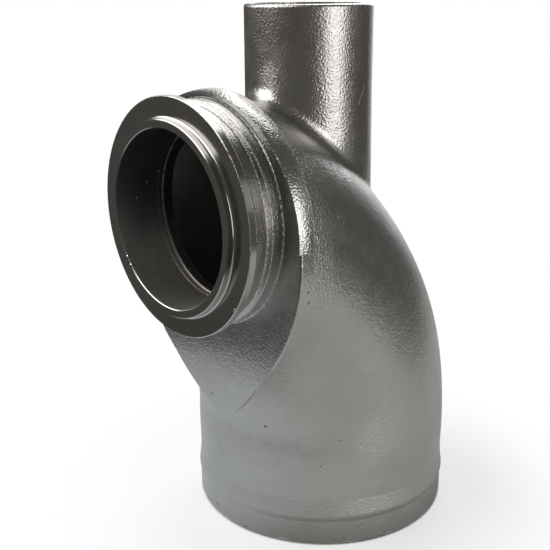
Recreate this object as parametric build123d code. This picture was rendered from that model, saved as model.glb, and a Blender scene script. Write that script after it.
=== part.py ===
from build123d import *
from math import cos, radians, sin, sqrt
import os

# Water-jacketed exhaust elbow, cast in one piece with its clamp flange, water tube and hose outlet.
# Millimetres. The origin is the centre of the outlet's rim, on which the elbow stands. +Z runs up the
# outlet's axis, the gas inlet faces -X at INLET_HEIGHT, and the plane y = 0 is a plane of symmetry.

# Outlet, a spigot for a large hose, with a slightly wider land at its end and a ridge above that
OUTLET_DIAMETER = 101.6
OUTLET_RIM_ROUND = 1.8
LAND_TOP = 10.0
LAND_HEIGHT = 0.3
BEAD_CREST = 12.2
BEAD_TOP = 18.9
BEAD_HEIGHT = 0.8
BEAD_CREST_ROUND = 3.0

# Gas inlet: a machined bore in a clamp flange with a pilot ring
INLET_BORE = 63.2
INLET_HEIGHT = 128.1
FLANGE_REACH = 15.7
FLANGE_WALL = 10.6
FLANGE_THICKNESS = 3.0
CLAMP_TAPER = 3.0
PILOT_HEIGHT = 2.9
PILOT_WALL = 3.0
PILOT_FILLET = 1.0
EDGE_BREAK = 0.3
GROOVE_WALL = 7.0
NECK_STEP_REACH = 5.3
NECK_STEP_LENGTH = 0.9
NECK_STEP_HEIGHT = 1.5
NECK_FLARE = 0.2
NECK_EDGE_ROUND = 0.25
NECK_ROOT_FILLET = 0.5
BORE_DEPTH_IN_WALL = 2.3
BORE_LEDGE = 0.4

# Shoulder: a flat face that closes the bend round the neck, with a low round collar on its upper half
SHOULDER_SETBACK = 5.5
SHOULDER_WALL = 6.3
SHOULDER_EDGE_ROUND = 0.9
COLLAR_WALL = 2.7
COLLAR_DROP = 5.7
COLLAR_WIDTH = 7.3
COLLAR_CROWN = 0.8
COLLAR_CROWN_LENGTH = 5.0
COLLAR_EDGE_ROUND = 0.4
COLLAR_BACK_ROUND = 0.5

# Pad: the egg-shaped foot of the shoulder's face, which leans back to meet the outlet pipe
PAD_TOP_RADIUS = 46.0
PAD_TOP_DROP = 11.0
PAD_SIDE_RADIUS = 109.0
PAD_TIP_RADIUS = 13.8
PAD_TIP_HEIGHT = 48.6
PAD_TOP = 77.0
PAD_DEPTH = 12.0
PAD_LEAN_HEIGHT = 84.0
PAD_LEAN = 4.0

# Bend: its centre line is a quarter of an ellipse that leaves the upright outlet for the inlet
BEND_START = 40.0
BEND_REACH = 116.0
BEND_CROWN = 4.8
BEND_SLIM = 1.2
BEND_SIDE_SLIM = 2.2
BEND_SLIM_ANGLE = 36.0
BEND_NOSE_SLIM = 5.4
BEND_NOSE_ANGLE = 60.0
BEND_STATIONS = (0, 12, 24, 36, 48, 60, 72)
PIPE_OVERLAP = 14.0

# Walls: the water jacket outside, the gas liner inside it, and the water space between them
JACKET_WALL = 3.6
WATER_GAP = 5.8
LINER_WALL = 3.0
LINER_SETBACK = 14.0

# Water tube on top
TUBE_DIAMETER = 47.6
TUBE_WALL = 3.5
TUBE_OFFSET = 7.7
TUBE_TOP = 198.6
TUBE_HOSE_LENGTH = 27.4
TUBE_DRAFT = 0.3
TUBE_ROOT = 120.0
TUBE_RIM_ROUND = 1.2
TUBE_FILLET = 5.0

# How far a cutting tool runs past what it cuts, and how closely an edge is looked for
OVERRUN = 5.0
TOUCH = 0.01

outlet_radius = OUTLET_DIAMETER / 2
inlet_radius = INLET_BORE / 2
tube_radius = TUBE_DIAMETER / 2
groove_radius = inlet_radius + GROOVE_WALL
seat_radius = groove_radius + NECK_STEP_HEIGHT
neck_root_radius = seat_radius + NECK_FLARE
collar_radius = neck_root_radius + COLLAR_DROP + COLLAR_WALL
shoulder_x = -(outlet_radius + SHOULDER_SETBACK)
flange_x = shoulder_x - FLANGE_REACH
pilot_x = flange_x - PILOT_HEIGHT
wall_x = shoulder_x + SHOULDER_WALL
bend_rise = INLET_HEIGHT + BEND_CROWN - BEND_START
inlet_axis = Axis((0, 0, INLET_HEIGHT), (1, 0, 0))
everything = 4 * (INLET_HEIGHT + OUTLET_DIAMETER)


def across_bend(angle):
    """The plane across the bend at an angle from its start, with its own x along +Y."""
    turn = radians(angle)
    centre = (BEND_REACH * (cos(turn) - 1), 0, BEND_START + bend_rise * sin(turn))
    along = (-BEND_REACH * sin(turn), 0, bend_rise * cos(turn))
    return Plane(origin=centre, x_dir=(0, 1, 0), z_dir=along)


def bend_section(angle, inset):
    """The oval outline of the bend at that angle, moved inwards by inset."""
    share = min(angle / BEND_SLIM_ANGLE, 1)
    nose_share = max(angle - BEND_NOSE_ANGLE, 0) / (BEND_STATIONS[-1] - BEND_NOSE_ANGLE)
    half_width = outlet_radius - inset - BEND_SIDE_SLIM * share
    half_depth = outlet_radius - inset - BEND_SLIM * share - BEND_NOSE_SLIM * nose_share
    return across_bend(angle) * Ellipse(half_width, half_depth)


def bend_form(inset, foot, front_x):
    """The upright pipe and the bend in one, moved inwards by inset, from foot to the plane front_x."""
    radius = outlet_radius - inset
    join_height = BEND_START - PIPE_OVERLAP
    join = Plane(origin=(0, 0, join_height), x_dir=(0, 1, 0), z_dir=(0, 0, 1))
    bend = loft([join * Circle(radius)] + [bend_section(angle, inset) for angle in BEND_STATIONS])
    pipe = extrude(Pos(0, 0, foot) * Circle(radius), join_height - foot)
    behind = Pos(front_x, 0, 0) * Box(
        everything, everything, everything, align=(Align.MIN, Align.CENTER, Align.CENTER)
    )
    return (bend + pipe) & behind


def turned(points):
    """A solid turned about the inlet's axis from (x, radius) points."""
    outline = Polyline(*[(x, 0, INLET_HEIGHT + radius) for x, radius in points], close=True)
    return revolve(make_face(outline), inlet_axis)


def ring_edges(solid, axis, place, radius):
    """The round edges of a turned solid that lie at that place along the axis and have that radius."""
    found = [
        edge
        for edge in solid.edges().filter_by(GeomType.CIRCLE)
        if abs(edge.center().dot(axis.direction) - place) < TOUCH and abs(edge.radius - radius) < TOUCH
    ]
    return ShapeList(found)


def egg_outline():
    """The pad's outline seen from the inlet: a top, a tip and two side arcs, tangent to each other."""
    top_z = INLET_HEIGHT - PAD_TOP_DROP
    tip_z = PAD_TIP_HEIGHT + PAD_TIP_RADIUS
    to_top = PAD_SIDE_RADIUS - PAD_TOP_RADIUS
    to_tip = PAD_SIDE_RADIUS - PAD_TIP_RADIUS
    apart = top_z - tip_z
    drop = (to_top**2 - to_tip**2 + apart**2) / (2 * apart)
    side = Vector(-sqrt(to_top**2 - drop**2), top_z - drop)
    top = Vector(0, top_z)
    tip = Vector(0, tip_z)
    top_join = side + (top - side).normalized() * PAD_SIDE_RADIUS
    tip_join = side + (tip - side).normalized() * PAD_SIDE_RADIUS
    side_middle = side + ((top_join + tip_join) / 2 - side).normalized() * PAD_SIDE_RADIUS

    def mirrored(point):
        return Vector(-point.X, point.Y)

    return make_face(
        [
            ThreePointArc(mirrored(top_join), (0, top_z + PAD_TOP_RADIUS), top_join),
            ThreePointArc(top_join, side_middle, tip_join),
            ThreePointArc(tip_join, (0, PAD_TIP_HEIGHT), mirrored(tip_join)),
            ThreePointArc(mirrored(tip_join), mirrored(side_middle), mirrored(top_join)),
        ]
    )


def shoulder_plane(height):
    """The plane of the shoulder's face, looking back into the bend, with its origin at that height."""
    return Plane(origin=(shoulder_x, 0, height), x_dir=(0, 1, 0), z_dir=(1, 0, 0))


def collar_crown():
    """The collar's crowned outline from the side, with its axis at z = 0: it curves in to the front."""
    full = (shoulder_x + COLLAR_CROWN_LENGTH, collar_radius)
    return TangentArc(full, (shoulder_x, collar_radius - COLLAR_CROWN), tangent=(-1, 0))


def turned_about_collar(lines):
    """A solid turned about the collar's axis from lines that close an outline seen from the side."""
    height = INLET_HEIGHT - COLLAR_DROP
    side_view = Plane(origin=(0, 0, height), x_dir=(1, 0, 0), z_dir=(0, -1, 0))
    return revolve(side_view * make_face(lines), Axis((0, 0, height), (1, 0, 0)))


def collar():
    """The round collar behind the shoulder's face, crowned in front and rounded at its back."""
    crown = collar_crown()
    back_x = shoulder_x + COLLAR_WIDTH
    rest = Polyline(crown @ 1, (shoulder_x, 0), (back_x, 0), (back_x, collar_radius), crown @ 0)
    disc = turned_about_collar([crown, rest])
    disc = fillet(disc.edges().group_by(Axis.X)[0], COLLAR_EDGE_ROUND)
    return fillet(disc.edges().group_by(Axis.X)[-1], COLLAR_BACK_ROUND)


def collar_clearance():
    """What is cut from the bend so that only the collar's own crown shows on the collar's upper half."""
    crown = collar_crown()
    outer = collar_radius + OVERRUN
    front = shoulder_x - OVERRUN
    rest = Polyline(
        crown @ 1,
        (front, collar_radius - COLLAR_CROWN),
        (front, outer),
        (shoulder_x + COLLAR_CROWN_LENGTH, outer),
        crown @ 0,
    )
    upper = Pos(0, 0, INLET_HEIGHT - COLLAR_DROP) * Box(
        everything, everything, everything, align=(Align.CENTER, Align.CENTER, Align.MIN)
    )
    return turned_about_collar([crown, rest]) & upper


def pad():
    """The pad, deep enough to reach the outlet pipe behind it; above PAD_TOP the bend itself takes over."""
    deep = extrude(shoulder_plane(0) * egg_outline(), PAD_DEPTH)
    low = Pos(0, 0, PAD_TOP) * Box(
        everything, everything, everything, align=(Align.CENTER, Align.CENTER, Align.MAX)
    )
    return deep & low


def lean_cut():
    """What is cut from the pad's front: it curves back from the shoulder's face to its tip."""
    tip_x = shoulder_x + PAD_LEAN
    lean = TangentArc((shoulder_x, PAD_LEAN_HEIGHT), (tip_x, PAD_TIP_HEIGHT), tangent=(0, -1))
    rest = Polyline(
        (tip_x, PAD_TIP_HEIGHT),
        (tip_x, PAD_TIP_HEIGHT - OVERRUN),
        (shoulder_x - OVERRUN, PAD_TIP_HEIGHT - OVERRUN),
        (shoulder_x - OVERRUN, PAD_LEAN_HEIGHT),
        (shoulder_x, PAD_LEAN_HEIGHT),
    )
    side_view = Plane(origin=(0, 0, 0), x_dir=(1, 0, 0), z_dir=(0, -1, 0))
    return extrude(side_view * make_face([lean, rest]), everything / 2, both=True)


def inlet_neck():
    """The clamp flange with its pilot ring, the groove behind it and the neck down to the shoulder."""
    pilot = inlet_radius + PILOT_WALL
    lip = inlet_radius + FLANGE_WALL
    step_x = shoulder_x - NECK_STEP_REACH
    step_end = step_x + NECK_STEP_LENGTH
    lip_back = flange_x + FLANGE_THICKNESS
    neck = turned(
        [
            (pilot_x, 0),
            (pilot_x, pilot),
            (flange_x, pilot),
            (flange_x, lip),
            (lip_back, lip),
            (lip_back + CLAMP_TAPER, groove_radius),
            (step_x, groove_radius),
            (step_end, seat_radius),
            (shoulder_x, neck_root_radius),
            (wall_x, neck_root_radius),
            (wall_x, 0),
        ]
    )
    neck = fillet(ring_edges(neck, inlet_axis, flange_x, pilot), PILOT_FILLET)
    neck = fillet(ring_edges(neck, inlet_axis, step_end, seat_radius), NECK_EDGE_ROUND)
    sharp = [(pilot_x, pilot), (flange_x, lip), (lip_back, lip)]
    breaks = [edge for place, radius in sharp for edge in ring_edges(neck, inlet_axis, place, radius)]
    return chamfer(ShapeList(breaks), EDGE_BREAK)


def inlet_bore():
    """The machined bore, and the slightly smaller cored hole behind it that opens into the passage."""
    stop_x = shoulder_x + BORE_DEPTH_IN_WALL
    return turned(
        [
            (pilot_x - OVERRUN, 0),
            (pilot_x - OVERRUN, inlet_radius + EDGE_BREAK),
            (pilot_x, inlet_radius + EDGE_BREAK),
            (pilot_x + EDGE_BREAK, inlet_radius),
            (stop_x, inlet_radius),
            (stop_x, inlet_radius - BORE_LEDGE),
            (wall_x, inlet_radius - BORE_LEDGE),
            (wall_x, 0),
        ]
    )


def water_tube():
    """The water tube: a true cylinder where the hose goes, above a root that widens with the draft."""
    hose_foot = TUBE_TOP - TUBE_HOSE_LENGTH
    root_radius = tube_radius + TUBE_DRAFT * (hose_foot - TUBE_ROOT) / TUBE_HOSE_LENGTH
    outline = Polyline(
        (0, TUBE_ROOT),
        (root_radius, TUBE_ROOT),
        (tube_radius, hose_foot),
        (tube_radius, TUBE_TOP),
        (0, TUBE_TOP),
        close=True,
    )
    side_view = Plane(origin=(0, 0, 0), x_dir=(1, 0, 0), z_dir=(0, -1, 0))
    tube = revolve(side_view * make_face(outline), Axis.Z)
    tube = fillet(tube.edges().group_by(Axis.Z)[-1], TUBE_RIM_ROUND)
    return Pos(-TUBE_OFFSET, 0, 0) * tube


def outlet_end():
    """The land that the hose is pushed over, and the ridge behind it that holds the hose."""
    land = outlet_radius + LAND_HEIGHT
    crest = outlet_radius + BEAD_HEIGHT
    outline = Polyline(
        (0, 0),
        (land, 0),
        (land, LAND_TOP),
        (crest, BEAD_CREST),
        (outlet_radius, BEAD_TOP),
        (0, BEAD_TOP),
        close=True,
    )
    side_view = Plane(origin=(0, 0, 0), x_dir=(1, 0, 0), z_dir=(0, -1, 0))
    end = revolve(side_view * make_face(outline), Axis.Z)
    end = fillet(ring_edges(end, Axis.Z, BEAD_CREST, crest), BEAD_CREST_ROUND)
    return fillet(ring_edges(end, Axis.Z, 0, land), OUTLET_RIM_ROUND)


def outside():
    """The casting's outer form, before anything is cored or bored."""
    body = bend_form(0, LAND_TOP, shoulder_x)
    body = fillet(body.faces().sort_by(Axis.X)[0].edges(), SHOULDER_EDGE_ROUND)
    body = body - collar_clearance() + collar() + pad() - lean_cut()
    tube = water_tube()
    joined = body + tube
    joined = fillet(new_edges(body, tube, combined=joined), TUBE_FILLET)
    joined = joined + inlet_neck()
    root = ring_edges(joined, inlet_axis, shoulder_x, neck_root_radius)
    return fillet(root, NECK_ROOT_FILLET) + outlet_end()


def elbow_casting():
    """The whole casting: outer form, water space, liner and gas passage."""
    water_inset = JACKET_WALL
    liner_inset = water_inset + WATER_GAP
    gas_inset = liner_inset + LINER_WALL
    tube_bore = Pos(-TUBE_OFFSET, 0, TUBE_ROOT) * extrude(
        Circle(tube_radius - TUBE_WALL), TUBE_TOP + OVERRUN - TUBE_ROOT
    )
    shell = outside() - bend_form(water_inset, -OVERRUN, wall_x) - tube_bore
    liner = bend_form(liner_inset, LINER_SETBACK, wall_x - BORE_DEPTH_IN_WALL)
    passage = bend_form(gas_inset, -OVERRUN, wall_x)
    return shell + liner - passage - inlet_bore()


os.makedirs("parts", exist_ok=True)
casting = elbow_casting()
export_step(casting, "parts/elbow_casting.step")
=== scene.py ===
from math import cos, pi, radians, sin

import bpy
from mathutils import Matrix, Vector

# Metres, in the frame of the CAD model: the outlet's rim stands on z = 0 and the gas inlet faces -X.
INLET_HEIGHT = 0.1281
FLANGE_X = -0.0720
FLANGE_RADIUS = 0.0422
SHOULDER_X = -0.0563
WALL_X = -0.0500
BORE_RADIUS = 0.0316
LEDGE_X = -0.0540
PILOT_RADIUS = 0.0346
PILOT_FILLET = 0.0010
FACE_MARGIN = 0.00001
TUBE_X = -0.0077

# Edges of the turned inlet along which thin bright speckled lines are painted as highlights, where their
# small rounds catch the light, as x and radius
EDGE_HIGHLIGHT_RINGS = (
    (-0.0720, 0.0422),
    (-0.0690, 0.0422),
    (-0.0616, 0.0386),
    (-0.0607, 0.0401),
    (-0.0563, 0.0405),
)
# The edge of the bore's ledge, along whose upper part a bright arc is painted as a highlight
LEDGE_HIGHLIGHT_RING = ((-0.0540, 0.0316),)
EDGE_HIGHLIGHT_WIDTH = 0.00036

# Painted shade: the corner at the top of the neck's root is painted dark where shade falls
CORNER_SHADE_RING = ((-0.0567, 0.0405),)
CORNER_SHADE_WIDTH = 0.0011

# Marks of the casting that the photograph shows: small pits as place and radius, scratches as two ends
PITS = (
    ((-0.0537, 0.0045, 0.0552), 0.0007),
    ((-0.0474, -0.0197, 0.0481), 0.0007),
    ((-0.0506, 0.0072, 0.0043), 0.0010),
    ((-0.0501, -0.0100, 0.0016), 0.0006),
    ((-0.0560, -0.0123, 0.0745), 0.0008),
    ((-0.0525, -0.0482, 0.1091), 0.0006),
    ((-0.0519, -0.0475, 0.1050), 0.0006),
    ((-0.0319, -0.0484, 0.0997), 0.0004),
    ((-0.0295, -0.0413, 0.0443), 0.0004),
    ((-0.0353, -0.0368, 0.0338), 0.0004),
)
BRIGHT_SPECKS = (
    ((-0.0744, 0.0257, 0.1097), 0.0008),
    ((-0.0742, 0.0235, 0.1070), 0.0009),
    ((-0.0614, 0.0308, 0.1352), 0.0006),
    ((-0.0565, 0.0298, 0.1385), 0.0006),
    ((-0.0480, 0.0318, 0.1355), 0.0005),
    ((-0.0656, 0.0316, 0.1296), 0.0006),
    ((-0.0720, -0.0336, 0.1037), 0.0007),
    ((-0.0719, -0.0293, 0.1582), 0.0006),
)
SCRATCHES = (
    ((-0.0376, -0.0440, 0.1270), (-0.0352, -0.0450, 0.1325)),
    ((-0.0052, -0.0237, 0.1640), (-0.0020, -0.0231, 0.1700)),
    ((-0.0530, -0.0235, 0.0630), (-0.0495, -0.0262, 0.0603)),
)
SCRATCH_WIDTH = 0.0004

# Above its fillet the tube's wall still swells a little towards the flange
SWELL_PLACE = (-0.0308, -0.0055, 0.1680)
SWELL_REACH = 0.0125
SWELL_HEIGHT = 0.0010

# The step of which the sharp edges between regions are a few wide
EDGE_BLEND = 0.0001

# Where the other regions begin and end, each as two places between which one fades into the next
TUBE_EDGE = (0.0246, 0.0278)
TUBE_FOOT = (0.135, 0.160)
COLLAR_BACK = (-0.0488, -0.0480)
COLLAR_FOOT = (0.116, 0.124)
LOW_LEFT_SIDE = (-0.040, -0.005)
LOW_LEFT_TOP = (0.045, 0.075)
FACE_BACK = (-0.0510, -0.0490)
RIDGE_FRONT = (-0.0520, -0.0490)
RIDGE_BACK = (-0.0460, -0.0360)
RIDGE_FOOT = (0.090, 0.105)
FOOT_TOP = (0.0184, 0.0189)
BODY_FOOT = (0.060, 0.095)
# The heights over which the painted highlight on the bore's ledge fades in
LEDGE_HIGHLIGHT_FROM = (0.104, 0.130)
CORNER_SHADE_FROM = (0.150, 0.162)
STREAKS_FROM = (0.122, 0.150)
# From these heights up the bore is painted darker, as shade
BORE_SHADE_FROM = (0.106, 0.142)

# Patterns of the surface, as repeats in a metre
PATCH_SCALE = 34.0
MOTTLE_SCALE = 160.0
PEBBLE_SCALE = 850.0
GRAIN_SCALE = 1500.0
GRAIN_CELL_SCALE = 1300.0
WAVE_SCALE = 150.0
EDGE_HIGHLIGHT_BREAK_SCALE = 2100.0
STREAK_SCALE = 1500.0
TURNING_SCALE = 5200.0

# The cells' share of the grain, what is taken off so that the grain's mean is zero, and how far streaks stray
GRAIN_CELL_SHARE = 0.6
GRAIN_MEAN = 0.78
STREAK_WANDER = 0.0002

# The values of a pattern between which it goes from none to full
PATCH_RANGE = (0.3, 0.7)
MOTTLE_RANGE = (0.35, 0.65)
EDGE_HIGHLIGHT_BREAK_RANGE = (0.45, 0.56)
STREAK_RANGE = (0.38, 0.60)

# The share of a mark's size that is full before it fades
SPOT_CORE = 0.45
STROKE_CORE = 0.3
RING_CORE = 0.4

# Colours of the steel. A pair is the two ends of a slow change over the surface.
BODY_COLOURS = ((0.46, 0.455, 0.44, 1.0), (0.50, 0.495, 0.485, 1.0))
TUBE_COLOURS = ((0.44, 0.42, 0.40, 1.0), (0.48, 0.465, 0.445, 1.0))
# The bore, painted lighter low down and darker towards its top as shade
BORE_LIT_AND_SHADED_COLOURS = ((0.54, 0.52, 0.49, 1.0), (0.16, 0.165, 0.19, 1.0))
TURNED_COLOUR = (0.46, 0.45, 0.43, 1.0)
STREAK_COLOUR = (0.33, 0.32, 0.31, 1.0)
# Painted shade deep in the cast passage beyond the bore's ledge
PASSAGE_SHADE_COLOUR = (0.13, 0.13, 0.14, 1.0)
# The colour of the painted highlights on the edges, also used for the bright specks
EDGE_HIGHLIGHT_AND_SPECK_COLOUR = (0.80, 0.79, 0.77, 1.0)
# The painted shade in the corner at the top of the neck's root
CORNER_SHADE_COLOUR = (0.09, 0.09, 0.09, 1.0)
SCRATCH_COLOUR = (0.72, 0.71, 0.69, 1.0)
PIT_COLOUR = (0.10, 0.10, 0.10, 1.0)
# How much of the painted corner shade is laid on, and of the scratches and pits
CORNER_SHADE_SHARE = 0.85
MARK_SHARE = 0.6

# Roughness of each region. A pair is the two ends of the mottled change.
BODY_ROUGHNESS = (0.35, 0.30)
TUBE_ROUGHNESS = (0.32, 0.27)
TURNED_ROUGHNESS = (0.17, 0.14)
COLLAR_ROUGHNESS = 0.26
RIDGE_ROUGHNESS = 0.36
GROOVE_ROUGHNESS = 0.24
LIP_ROUGHNESS = 0.19
BORE_ROUGHNESS = 0.42
EDGE_HIGHLIGHT_AND_SPECK_ROUGHNESS = 0.30

# Heights of the relief in metres
PEBBLES_LOW = 0.00008
PEBBLES_BODY = 0.00015
PEBBLES_FACE = 0.00012
PEBBLES_COLLAR = 0.00006
PEBBLES_LOW_LEFT = 0.00004
PEBBLES_TUBE = 0.00003
GRAIN_BODY = 0.00004
GRAIN_LOW_LEFT = 0.00001
GRAIN_TUBE = 0.00010
GRAIN_COLLAR = 0.00010
GRAIN_RIDGE = 0.00017
GRAIN_FOOT = 0.00009
GRAIN_FOOT_LEFT = 0.00003
GRAIN_GROOVE = 0.00006
WAVES_BODY = 0.00010
WAVES_TUBE = 0.00003
TURNING_HEIGHT = 0.000012
EDGE_HIGHLIGHT_HEIGHT = 0.00008
SPECK_HEIGHT = 0.00015
SCRATCH_HEIGHT = -0.00008
PIT_HEIGHT = -0.00025

# The photograph's camera
CAMERA_PLACE = (-0.24705, -0.25430, 0.20512)
CAMERA_TURN = -0.71787
CAMERA_PITCH = 0.30756
CAMERA_ROLL = -0.00731
CAMERA_LENS = 59.88
SENSOR_WIDTH = 36.0

BACKGROUND = (1.0, 1.0, 1.0, 1.0)
BLACK = (0.0, 0.0, 0.0, 1.0)
PAPER = (0.80, 0.80, 0.80, 1.0)
ROOM = (0.100, 0.095, 0.089, 1.0)
ROOM_GROUND = (0.065, 0.063, 0.060, 1.0)

# Directions round the object are degrees from the side that faces the camera, positive to the picture's right
TOWARDS_CAMERA = -131
BACK_OPEN_FROM = 145
BACK_OPEN_TO = 190
SIDE_GLOW = (0.46, 0.455, 0.45, 1.0)
SIDE_REACH = 1.45
SIDE_CORNERS = ((69, 0.33), (92, 0.33), (92, 0.95), (69, 0.95))
CARD_REACH = 1.6
CARD_FOOT = -0.5
CARD_TOP = 2.1
CARD_STEP = 15

# The lamps: name, direction round the object and above the horizon, distance, width, height and strength
LAMPS = (
    ("left_box", -92, 43, 1.4, 1.8, 1.5, 2.9),
    ("right_box", 45, 9, 1.2, 0.70, 0.85, 2.6),
    ("back_box", 163, 39, 1.3, 0.78, 1.5, 3.0),
)
LAMP_TARGET = (0, 0, 0.10)

# The floor: how much of it is plain white at the foot, where its shadow gives way to white alone, and how
# softly the white ends at the table card's hole
FLOOR_SIZE = 0.125
FLOOR_WHITE_SHARE = 0.66
FLOOR_SHADOW_FULL = 0.060
FLOOR_SHADOW_END = 0.120
FLOOR_HOLE_BLEND = 0.001

# The grey card round the foot, which glows and is seen only by the steel: its corners as reach and direction,
# its round hole and where its glow falls, with the object's shadow painted into the glow close to the foot
# and beside it
TABLE_REACH = (
    (0.20, -165), (0.20, -130), (0.195, -100), (0.185, -75), (0.17, -50), (0.19, -20), (0.25, 10), (0.38, 30),
    (0.38, 55), (0.28, 75), (0.28, 95), (0.34, 112), (0.55, 130), (0.90, 150), (0.90, 160), (0.35, 175),
)
TABLE_TURN = (-0.08, 0.0)
TABLE_NEAR = (0.052, 0.082)
# How much of the glow the painted shadow takes close to the foot, on the left and on the right
TABLE_NEAR_SHADOW = (0.05, 0.50)
TABLE_BESIDE = (0.0, 0.10)
TABLE_BESIDE_REACH = (0.11, 0.20)
TABLE_BESIDE_SHADOW = 0.15
TABLE_HOLE = 0.0515
TABLE_LEFT = (0.59, 0.62, 0.635, 1.0)
TABLE_RIGHT = (0.55, 0.545, 0.53, 1.0)
TABLE_HEIGHT = 0.0004

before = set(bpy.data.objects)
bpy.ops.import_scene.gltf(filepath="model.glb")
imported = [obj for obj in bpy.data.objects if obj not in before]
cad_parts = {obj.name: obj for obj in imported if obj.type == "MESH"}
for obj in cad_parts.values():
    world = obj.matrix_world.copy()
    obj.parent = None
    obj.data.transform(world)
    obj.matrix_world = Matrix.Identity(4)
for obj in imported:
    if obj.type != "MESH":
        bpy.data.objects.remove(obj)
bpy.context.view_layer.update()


class Graph:
    """Builds a node tree from sums on sockets. A value is a number, a vector or another node's output."""

    def __init__(self, tree):
        self.tree = tree
        tree.nodes.clear()

    def node(self, kind, **settings):
        made = self.tree.nodes.new(kind)
        for name, value in settings.items():
            setattr(made, name, value)
        return made

    def put(self, value, socket):
        if isinstance(value, bpy.types.NodeSocket):
            self.tree.links.new(value, socket)
        else:
            socket.default_value = value

    def sum(self, operation, *values, clamp=False):
        made = self.node("ShaderNodeMath", operation=operation, use_clamp=clamp)
        for number, value in enumerate(values):
            self.put(value, made.inputs[number])
        return made.outputs[0]

    def vector(self, operation, *values):
        made = self.node("ShaderNodeVectorMath", operation=operation)
        for number, value in enumerate(values):
            self.put(value, made.inputs[number])
        is_number = operation in ("LENGTH", "DISTANCE", "DOT_PRODUCT")
        return made.outputs["Value"] if is_number else made.outputs[0]

    def join(self, x, y, z):
        made = self.node("ShaderNodeCombineXYZ")
        for value, socket in zip((x, y, z), made.inputs):
            self.put(value, socket)
        return made.outputs[0]

    def split(self, vector):
        made = self.node("ShaderNodeSeparateXYZ")
        self.put(vector, made.inputs[0])
        return made.outputs

    def ramp(self, value, low, high, start=0.0, end=1.0):
        """A smooth step of the value: start below low, end above high."""
        made = self.node("ShaderNodeMapRange", interpolation_type="SMOOTHSTEP")
        for name, number in (
            ("Value", value),
            ("From Min", low),
            ("From Max", high),
            ("To Min", start),
            ("To Max", end),
        ):
            self.put(number, made.inputs[name])
        return made.outputs[0]

    def mix(self, share, first, second):
        """Two colours mixed: first at share 0, second at share 1."""
        made = self.node("ShaderNodeMix", data_type="RGBA")
        self.put(share, made.inputs["Factor"])
        self.put(first, made.inputs[6])
        self.put(second, made.inputs[7])
        return made.outputs[2]

    def mix_number(self, share, first, second):
        made = self.node("ShaderNodeMix", data_type="FLOAT")
        self.put(share, made.inputs["Factor"])
        self.put(first, made.inputs[2])
        self.put(second, made.inputs[3])
        return made.outputs[0]

    def mix_vector(self, share, first, second):
        made = self.node("ShaderNodeMix", data_type="VECTOR")
        self.put(share, made.inputs["Factor"])
        self.put(first, made.inputs[4])
        self.put(second, made.inputs[5])
        return made.outputs[1]

    def noise(self, vector, scale, detail=2.0, roughness=0.5):
        made = self.node("ShaderNodeTexNoise")
        self.put(vector, made.inputs["Vector"])
        made.inputs["Scale"].default_value = scale
        made.inputs["Detail"].default_value = detail
        made.inputs["Roughness"].default_value = roughness
        return made.outputs["Fac"]

    def noise_line(self, value, scale, detail=2.0):
        """Noise along one number."""
        made = self.node("ShaderNodeTexNoise", noise_dimensions="1D")
        self.put(value, made.inputs["W"])
        made.inputs["Scale"].default_value = scale
        made.inputs["Detail"].default_value = detail
        return made.outputs["Fac"]

    def cells(self, vector, scale):
        """The distance to the nearest of points scattered at that scale."""
        made = self.node("ShaderNodeTexVoronoi")
        self.put(vector, made.inputs["Vector"])
        made.inputs["Scale"].default_value = scale
        return made.outputs["Distance"]

    def bump(self, height, normal):
        """The normal turned by a relief whose height is in metres."""
        made = self.node("ShaderNodeBump")
        made.inputs["Distance"].default_value = 1.0
        made.inputs["Strength"].default_value = 1.0
        self.put(height, made.inputs["Height"])
        self.put(normal, made.inputs["Normal"])
        return made.outputs[0]


def new_material(name):
    material = bpy.data.materials.new(name)
    material.use_nodes = True
    return material, Graph(material.node_tree)


def spots(g, place, marks):
    """One inside the round marks, zero outside them."""
    total = 0.0
    for centre, size in marks:
        near = g.ramp(g.vector("DISTANCE", place, centre), size * SPOT_CORE, size, 1.0, 0.0)
        total = g.sum("MAXIMUM", total, near)
    return total


def strokes(g, place, lines, width):
    """One on the straight strokes between the lines' ends, zero beside them."""
    total = 0.0
    for start, end in lines:
        run = Vector(end) - Vector(start)
        offset = g.vector("SUBTRACT", place, start)
        along = g.sum("DIVIDE", g.vector("DOT_PRODUCT", offset, tuple(run)), run.length_squared, clamp=True)
        beside = g.vector("DISTANCE", offset, g.vector("MULTIPLY", tuple(run), g.join(along, along, along)))
        total = g.sum("MAXIMUM", total, g.ramp(beside, width * STROKE_CORE, width, 1.0, 0.0))
    return total


def rings(g, x, radius, edges, width):
    """One along the round edges, zero away from them."""
    total = 0.0
    for edge_x, edge_radius in edges:
        away = g.vector("DISTANCE", g.join(x, radius, 0.0), (edge_x, edge_radius, 0.0))
        total = g.sum("MAXIMUM", total, g.ramp(away, width * RING_CORE, width, 1.0, 0.0))
    return total


def pilot_fillet_normal(g, x, y, z, radius):
    """The true normal of the small fillet at the pilot ring's foot, and one where the fillet is."""
    middle_x = FLANGE_X - PILOT_FILLET
    middle_radius = PILOT_RADIUS + PILOT_FILLET
    inwards = g.sum("DIVIDE", g.sum("SUBTRACT", middle_radius, radius), radius)
    facing = g.join(
        g.sum("SUBTRACT", middle_x, x),
        g.sum("MULTIPLY", inwards, y),
        g.sum("MULTIPLY", inwards, g.sum("SUBTRACT", z, INLET_HEIGHT)),
    )
    before_face = g.sum("LESS_THAN", x, FLANGE_X - FACE_MARGIN)
    here = g.sum("MULTIPLY", g.sum("GREATER_THAN", x, middle_x), before_face)
    here = g.sum("MULTIPLY", here, g.sum("LESS_THAN", radius, middle_radius))
    return g.vector("NORMALIZE", facing), g.sum("MULTIPLY", here, g.sum("GREATER_THAN", radius, PILOT_RADIUS))


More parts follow.
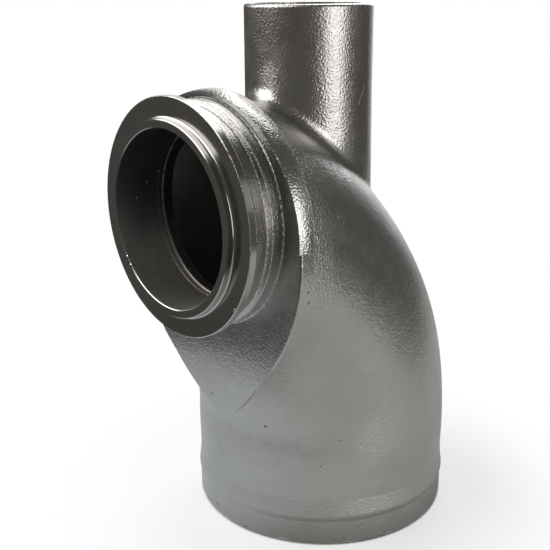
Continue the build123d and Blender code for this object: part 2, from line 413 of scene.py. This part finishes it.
def regions(g, x, y, z, radius):
    """The parts of the surface by name, each as one inside the part and zero outside it."""
    tube_radius = g.vector("LENGTH", g.join(g.sum("SUBTRACT", x, TUBE_X), y, 0.0))
    turned = g.ramp(x, SHOULDER_X - 2 * EDGE_BLEND, SHOULDER_X - EDGE_BLEND, 1.0, 0.0)
    behind_flange = g.ramp(x, FLANGE_X + EDGE_BLEND, FLANGE_X + 3 * EDGE_BLEND)
    at_rim = g.ramp(radius, FLANGE_RADIUS - 4 * EDGE_BLEND, FLANGE_RADIUS - 2 * EDGE_BLEND)
    within_bore = g.ramp(radius, BORE_RADIUS, BORE_RADIUS + 2 * EDGE_BLEND, 1.0, 0.0)
    before_wall = g.ramp(x, WALL_X, WALL_X + 2 * EDGE_BLEND, 1.0, 0.0)
    ridge = g.sum("MULTIPLY", g.ramp(x, *RIDGE_FRONT), g.ramp(x, *RIDGE_BACK, 1.0, 0.0))
    return {
        "turned": turned,
        "bore": g.sum("MULTIPLY", within_bore, before_wall),
        "inside": g.ramp(x, LEDGE_X + 3 * EDGE_BLEND, LEDGE_X + 6 * EDGE_BLEND),
        "groove": g.sum("MULTIPLY", turned, behind_flange),
        "lip_side": g.sum("MULTIPLY", turned, at_rim),
        "tube": g.sum("MULTIPLY", g.ramp(tube_radius, *TUBE_EDGE, 1.0, 0.0), g.ramp(z, *TUBE_FOOT)),
        "collar": g.sum("MULTIPLY", g.ramp(x, *COLLAR_BACK, 1.0, 0.0), g.ramp(z, *COLLAR_FOOT)),
        "low_left": g.sum("MULTIPLY", g.ramp(y, *LOW_LEFT_SIDE), g.ramp(z, *LOW_LEFT_TOP, 1.0, 0.0)),
        "face": g.ramp(x, *FACE_BACK, 1.0, 0.0),
        "ridge": g.sum("MULTIPLY", ridge, g.ramp(z, *RIDGE_FOOT)),
        "foot": g.ramp(z, *FOOT_TOP, 1.0, 0.0),
        "body": g.ramp(z, *BODY_FOOT),
    }


def surface_marks(g, place, x, z, radius):
    """The marks on the surface by name, each as one on the mark and zero beside it: painted shade in the
    neck's corner, painted highlights along the turned edges, bright specks, scratches and pits.
    """
    # Painted shade in the corner at the top of the neck's root, from partway up
    corner = g.sum("MULTIPLY", rings(g, x, radius, CORNER_SHADE_RING, CORNER_SHADE_WIDTH), g.ramp(z, *CORNER_SHADE_FROM))
    # Painted highlights: thin bright lines along the turned edges and an arc on the upper part of the bore's
    # ledge
    ledge = g.sum("MULTIPLY", rings(g, x, radius, LEDGE_HIGHLIGHT_RING, EDGE_HIGHLIGHT_WIDTH), g.ramp(z, *LEDGE_HIGHLIGHT_FROM))
    edge_highlight = g.sum("MAXIMUM", rings(g, x, radius, EDGE_HIGHLIGHT_RINGS, EDGE_HIGHLIGHT_WIDTH), ledge)
    edge_highlight = g.sum("MULTIPLY", edge_highlight, g.ramp(g.noise(place, EDGE_HIGHLIGHT_BREAK_SCALE, detail=1.5), *EDGE_HIGHLIGHT_BREAK_RANGE))
    edge_highlight = g.sum("MULTIPLY", edge_highlight, g.sum("SUBTRACT", 1.0, corner))
    specks = spots(g, place, BRIGHT_SPECKS)
    return {
        "corner": corner,
        "edge_highlight": edge_highlight,
        "specks": specks,
        "bright": g.sum("MAXIMUM", edge_highlight, specks),
        "scratches": strokes(g, place, SCRATCHES, SCRATCH_WIDTH),
        "pits": spots(g, place, PITS),
    }


def steel_colour(g, on, marks, place, x, z, mottle):
    """The colour: slow patches on the casting, streaks in the groove, a bore painted darker towards its top
    and darkest beyond the ledge as shade, and the marks on top, among them painted highlights on the edges
    and painted shade in the neck's corner.
    """
    shade = g.ramp(g.noise(place, PATCH_SCALE, detail=3.0, roughness=0.55), *PATCH_RANGE)
    colour = g.mix(on["tube"], g.mix(shade, *BODY_COLOURS), g.mix(shade, *TUBE_COLOURS))
    colour = g.mix(on["turned"], colour, TURNED_COLOUR)
    streak_place = g.sum("ADD", x, g.sum("MULTIPLY", mottle, STREAK_WANDER))
    streaks = g.ramp(g.noise_line(streak_place, STREAK_SCALE), *STREAK_RANGE)
    streaks = g.sum("MULTIPLY", streaks, g.ramp(z, *STREAKS_FROM))
    colour = g.mix(g.sum("MULTIPLY", on["groove"], streaks), colour, STREAK_COLOUR)
    # The bore painted darker towards its top, as shade
    bore_colour = g.mix(g.ramp(z, *BORE_SHADE_FROM), *BORE_LIT_AND_SHADED_COLOURS)
    # The passage beyond the ledge painted dark, as shade
    bore_colour = g.mix(on["inside"], bore_colour, PASSAGE_SHADE_COLOUR)
    colour = g.mix(on["bore"], colour, bore_colour)
    # The painted highlights on the edges, and the bright specks
    colour = g.mix(marks["bright"], colour, EDGE_HIGHLIGHT_AND_SPECK_COLOUR)
    # The painted shade in the neck's corner
    colour = g.mix(g.sum("MULTIPLY", marks["corner"], CORNER_SHADE_SHARE), colour, CORNER_SHADE_COLOUR)
    colour = g.mix(g.sum("MULTIPLY", marks["scratches"], MARK_SHARE), colour, SCRATCH_COLOUR)
    return g.mix(g.sum("MULTIPLY", marks["pits"], MARK_SHARE), colour, PIT_COLOUR)


def steel_roughness(g, on, marks, mottle):
    """The roughness: mottled on the body, the tube and the turned inlet, and even elsewhere."""
    body = g.ramp(mottle, *MOTTLE_RANGE, *BODY_ROUGHNESS)
    tube = g.ramp(mottle, *MOTTLE_RANGE, *TUBE_ROUGHNESS)
    turned = g.ramp(mottle, *MOTTLE_RANGE, *TURNED_ROUGHNESS)
    roughness = g.mix_number(on["tube"], body, tube)
    for share, value in (
        (on["collar"], COLLAR_ROUGHNESS),
        (on["ridge"], RIDGE_ROUGHNESS),
        (on["turned"], turned),
        (on["groove"], GROOVE_ROUGHNESS),
        (on["lip_side"], LIP_ROUGHNESS),
        (on["bore"], BORE_ROUGHNESS),
        (marks["bright"], EDGE_HIGHLIGHT_AND_SPECK_ROUGHNESS),
    ):
        roughness = g.mix_number(share, roughness, value)
    return roughness


def steel_relief(g, on, marks, place, x, radius):
    """The height of the surface's relief: pebbles, grain, waves, turning lines and marks."""
    pebbles = g.noise(place, PEBBLE_SCALE, detail=1.0)
    cells = g.cells(place, GRAIN_CELL_SCALE)
    grain = g.sum("MULTIPLY_ADD", cells, GRAIN_CELL_SHARE, g.noise(place, GRAIN_SCALE, detail=0.5))
    grain = g.sum("SUBTRACT", grain, GRAIN_MEAN)
    waves = g.noise(place, WAVE_SCALE, detail=1.0)

    pebble_height = g.mix_number(on["body"], PEBBLES_LOW, PEBBLES_BODY)
    pebble_height = g.mix_number(on["face"], pebble_height, PEBBLES_FACE)
    pebble_height = g.mix_number(on["collar"], pebble_height, PEBBLES_COLLAR)
    pebble_height = g.mix_number(on["low_left"], pebble_height, PEBBLES_LOW_LEFT)
    pebble_height = g.mix_number(on["tube"], pebble_height, PEBBLES_TUBE)
    grain_height = g.mix_number(on["low_left"], GRAIN_BODY, GRAIN_LOW_LEFT)
    grain_height = g.mix_number(on["tube"], grain_height, GRAIN_TUBE)
    grain_height = g.mix_number(on["collar"], grain_height, GRAIN_COLLAR)
    grain_height = g.mix_number(on["ridge"], grain_height, GRAIN_RIDGE)
    foot_height = g.mix_number(on["low_left"], GRAIN_FOOT, GRAIN_FOOT_LEFT)
    grain_height = g.mix_number(on["foot"], grain_height, foot_height)
    cast = g.sum("MULTIPLY", pebbles, pebble_height)
    cast = g.sum("MULTIPLY_ADD", grain, grain_height, cast)
    cast = g.sum("MULTIPLY_ADD", waves, g.mix_number(on["tube"], WAVES_BODY, WAVES_TUBE), cast)

    turning_lines = g.noise_line(g.sum("ADD", radius, x), TURNING_SCALE, detail=3.0)
    groove_height = g.mix_number(on["lip_side"], g.sum("MULTIPLY", on["groove"], GRAIN_GROOVE), 0.0)
    turning = g.sum("MULTIPLY", turning_lines, TURNING_HEIGHT)
    height = g.mix_number(on["turned"], cast, g.sum("MULTIPLY_ADD", grain, groove_height, turning))

    swell = g.ramp(g.vector("DISTANCE", place, SWELL_PLACE), 0.0, SWELL_REACH, 1.0, 0.0)
    for share, mark_height in (
        (swell, SWELL_HEIGHT),
        (marks["edge_highlight"], EDGE_HIGHLIGHT_HEIGHT),
        (marks["specks"], SPECK_HEIGHT),
        (marks["scratches"], SCRATCH_HEIGHT),
        (marks["pits"], PIT_HEIGHT),
    ):
        height = g.sum("MULTIPLY_ADD", share, mark_height, height)
    return height


def cast_steel():
    """Cast stainless steel: pebbled outside, turned smooth at the inlet, duller in the bore."""
    material, g = new_material("cast_steel")
    place = g.node("ShaderNodeTexCoord").outputs["Object"]
    x, y, z = g.split(place)
    radius = g.vector("LENGTH", g.join(0.0, y, g.sum("SUBTRACT", z, INLET_HEIGHT)))
    mottle = g.noise(place, MOTTLE_SCALE, detail=3.0, roughness=0.6)
    on = regions(g, x, y, z, radius)
    marks = surface_marks(g, place, x, z, radius)

    fillet_normal, on_fillet = pilot_fillet_normal(g, x, y, z, radius)
    surface_normal = g.node("ShaderNodeNewGeometry").outputs["Normal"]
    smooth_normal = g.mix_vector(on_fillet, surface_normal, fillet_normal)
    relief = steel_relief(g, on, marks, place, x, radius)

    shader = g.node("ShaderNodeBsdfPrincipled")
    shader.inputs["Metallic"].default_value = 1.0
    g.put(steel_colour(g, on, marks, place, x, z, mottle), shader.inputs["Base Color"])
    g.put(steel_roughness(g, on, marks, mottle), shader.inputs["Roughness"])
    g.put(g.bump(relief, smooth_normal), shader.inputs["Normal"])
    g.put(shader.outputs[0], g.node("ShaderNodeOutputMaterial").inputs[0])
    return material


def background_rays(g):
    """One for the rays that show the background: those of the camera, of reflections and through glass."""
    path = g.node("ShaderNodeLightPath").outputs
    shown = g.sum("MAXIMUM", path["Is Camera Ray"], path["Is Glossy Ray"])
    return g.sum("MAXIMUM", shown, path["Is Transmission Ray"])


def stage_piece(name, corners, material, faces=None):
    """A flat piece of the surroundings, which isn't part of the object."""
    mesh = bpy.data.meshes.new(name)
    mesh.from_pydata(corners, [], faces or [tuple(range(len(corners)))])
    mesh.materials.append(material)
    piece = bpy.data.objects.new(name, mesh)
    bpy.context.scene.collection.objects.link(piece)
    return piece


def square(size, height):
    return [(-size, -size, height), (size, -size, height), (size, size, height), (-size, size, height)]


def floor():
    """A pale floor that keeps the shadow round the foot and turns into the white background further out."""
    material, g = new_material("floor_paper")
    paper = g.node("ShaderNodeBsdfDiffuse")
    paper.inputs["Color"].default_value = PAPER
    white = g.node("ShaderNodeEmission")
    white.inputs["Color"].default_value = BACKGROUND
    x, y, z = g.split(g.node("ShaderNodeTexCoord").outputs["Object"])
    reach = g.vector("LENGTH", g.join(x, y, 0.0))
    share = g.ramp(reach, FLOOR_SHADOW_FULL, FLOOR_SHADOW_END, FLOOR_WHITE_SHARE, 1.0)
    share = g.sum("MULTIPLY", share, g.ramp(reach, TABLE_HOLE - FLOOR_HOLE_BLEND, TABLE_HOLE))
    both = g.node("ShaderNodeMixShader")
    g.put(g.sum("MULTIPLY", share, background_rays(g)), both.inputs[0])
    g.put(paper.outputs[0], both.inputs[1])
    g.put(white.outputs[0], both.inputs[2])
    g.put(both.outputs[0], g.node("ShaderNodeOutputMaterial").inputs[0])
    stage_piece("floor", square(FLOOR_SIZE, 0.0), material)


def glow_material(name):
    """A plain glowing material, its graph and the socket of its colour."""
    material, g = new_material(name)
    glow = g.node("ShaderNodeEmission")
    g.put(glow.outputs[0], g.node("ShaderNodeOutputMaterial").inputs[0])
    return material, g, glow.inputs["Color"]


def plain_glow(name, colour):
    material, g, socket = glow_material(name)
    g.put(colour, socket)
    return material


def reflected_only(piece):
    """Seen by the steel, and by nothing else."""
    piece.visible_camera = False
    piece.visible_diffuse = False
    piece.visible_shadow = False


def card_corner(bearing, reach, height):
    """A corner of a card, as a direction round the object, a distance from its axis and a height."""
    turn = radians(bearing + TOWARDS_CAMERA)
    return (reach * cos(turn), reach * sin(turn), height)


def room_cards():
    """Dark cards for the room's walls, ceiling and ground, and one paler card in front of a wall."""
    room = plain_glow("card_room", ROOM)
    for bearing in range(BACK_OPEN_TO, BACK_OPEN_FROM + 360, CARD_STEP):
        after = bearing + CARD_STEP
        corners = [
            card_corner(bearing, CARD_REACH, CARD_FOOT),
            card_corner(after, CARD_REACH, CARD_FOOT),
            card_corner(after, CARD_REACH, CARD_TOP),
            card_corner(bearing, CARD_REACH, CARD_TOP),
        ]
        reflected_only(stage_piece("wall_card_%d" % bearing, corners, room))
    reflected_only(stage_piece("ceiling_card", square(CARD_REACH, CARD_TOP), room))
    ground = plain_glow("card_ground", ROOM_GROUND)
    reflected_only(stage_piece("ground_card", square(CARD_REACH, CARD_FOOT), ground))
    corners = [card_corner(bearing, SIDE_REACH, height) for bearing, height in SIDE_CORNERS]
    reflected_only(stage_piece("side_card", corners, plain_glow("card_side", SIDE_GLOW)))


def table_glow():
    """The glow of the card round the foot, with the object's shadow painted into it: less close to the foot,
    and less beside it.
    """
    material, g, socket = glow_material("card_table")
    x, y, z = g.split(g.node("ShaderNodeTexCoord").outputs["Object"])
    reach = g.vector("LENGTH", g.join(x, y, 0.0))
    across = g.sum("SUBTRACT", x, y)
    turned_away = g.ramp(across, *TABLE_TURN)
    near = g.ramp(reach, *TABLE_NEAR, 1.0, 0.0)
    # The painted shadow: glow taken away close to the foot and beside it
    painted_shadow = g.sum("MULTIPLY", near, g.mix_number(turned_away, *TABLE_NEAR_SHADOW))
    beside = g.ramp(across, *TABLE_BESIDE, 0.0, TABLE_BESIDE_SHADOW)
    beside = g.sum("MULTIPLY", beside, g.ramp(reach, *TABLE_BESIDE_REACH, 1.0, 0.0))
    glow = g.mix(turned_away, TABLE_LEFT, TABLE_RIGHT)
    g.put(g.mix(g.sum("MAXIMUM", painted_shadow, beside), glow, BLACK), socket)
    return material


def table_card():
    """The grey card round the foot, a ring with a round hole."""
    corners = []
    for reach, bearing in TABLE_REACH:
        corners.append(card_corner(bearing, TABLE_HOLE, TABLE_HEIGHT))
        corners.append(card_corner(bearing, reach, TABLE_HEIGHT))
    count = len(corners)
    faces = [(i, i + 1, (i + 3) % count, (i + 2) % count) for i in range(0, count, 2)]
    reflected_only(stage_piece("table_card", corners, table_glow(), faces))


def camera_axes():
    """Right, up and forward of the photograph's camera."""
    turn = Matrix.Rotation(CAMERA_TURN, 3, "Z")
    right = turn @ Vector((1, 0, 0))
    forward = Matrix.Rotation(-CAMERA_PITCH, 3, right) @ (turn @ Vector((0, 1, 0)))
    up = right.cross(forward)
    roll = Matrix.Rotation(-CAMERA_ROLL, 3, forward)
    return roll @ right, roll @ up, forward


def camera():
    right, up, forward = camera_axes()
    data = bpy.data.cameras.new("camera")
    data.sensor_width = SENSOR_WIDTH
    data.lens = CAMERA_LENS
    made = bpy.data.objects.new("camera", data)
    bpy.context.scene.collection.objects.link(made)
    facing = Matrix((right, up, -forward)).transposed().to_4x4()
    made.matrix_world = Matrix.Translation(CAMERA_PLACE) @ facing
    bpy.context.scene.camera = made


def soft_box(name, bearing, elevation, distance, width, height, strength):
    """A rectangular lamp that faces the object."""
    turn = Matrix.Rotation(radians(bearing + TOWARDS_CAMERA), 3, "Z")
    tilt = Matrix.Rotation(radians(-elevation), 3, "Y")
    outwards = turn @ (tilt @ Vector((1, 0, 0)))
    data = bpy.data.lights.new(name, "AREA")
    data.shape = "RECTANGLE"
    data.size = width
    data.size_y = height
    data.energy = strength * width * height * pi
    made = bpy.data.objects.new(name, data)
    bpy.context.scene.collection.objects.link(made)
    made.location = Vector(LAMP_TARGET) + outwards * distance
    made.rotation_mode = "QUATERNION"
    made.rotation_quaternion = outwards.to_track_quat("Z", "Y")
    made.visible_camera = False


def surroundings():
    """White behind everything the camera or a reflection sees, and a dim room for the rest of the light."""
    world = bpy.data.worlds.new("room")
    bpy.context.scene.world = world
    world.use_nodes = True
    g = Graph(world.node_tree)
    back = g.node("ShaderNodeBackground")
    g.put(g.mix(background_rays(g), ROOM, BACKGROUND), back.inputs["Color"])
    g.put(back.outputs[0], g.node("ShaderNodeOutputWorld").inputs[0])


camera()
floor()
room_cards()
table_card()
for lamp in LAMPS:
    soft_box(*lamp)
surroundings()

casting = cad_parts["elbow_casting"]
steel = cast_steel()
casting.data.materials.clear()
casting.data.materials.append(steel)

bpy.context.scene.view_settings.view_transform = "Standard"
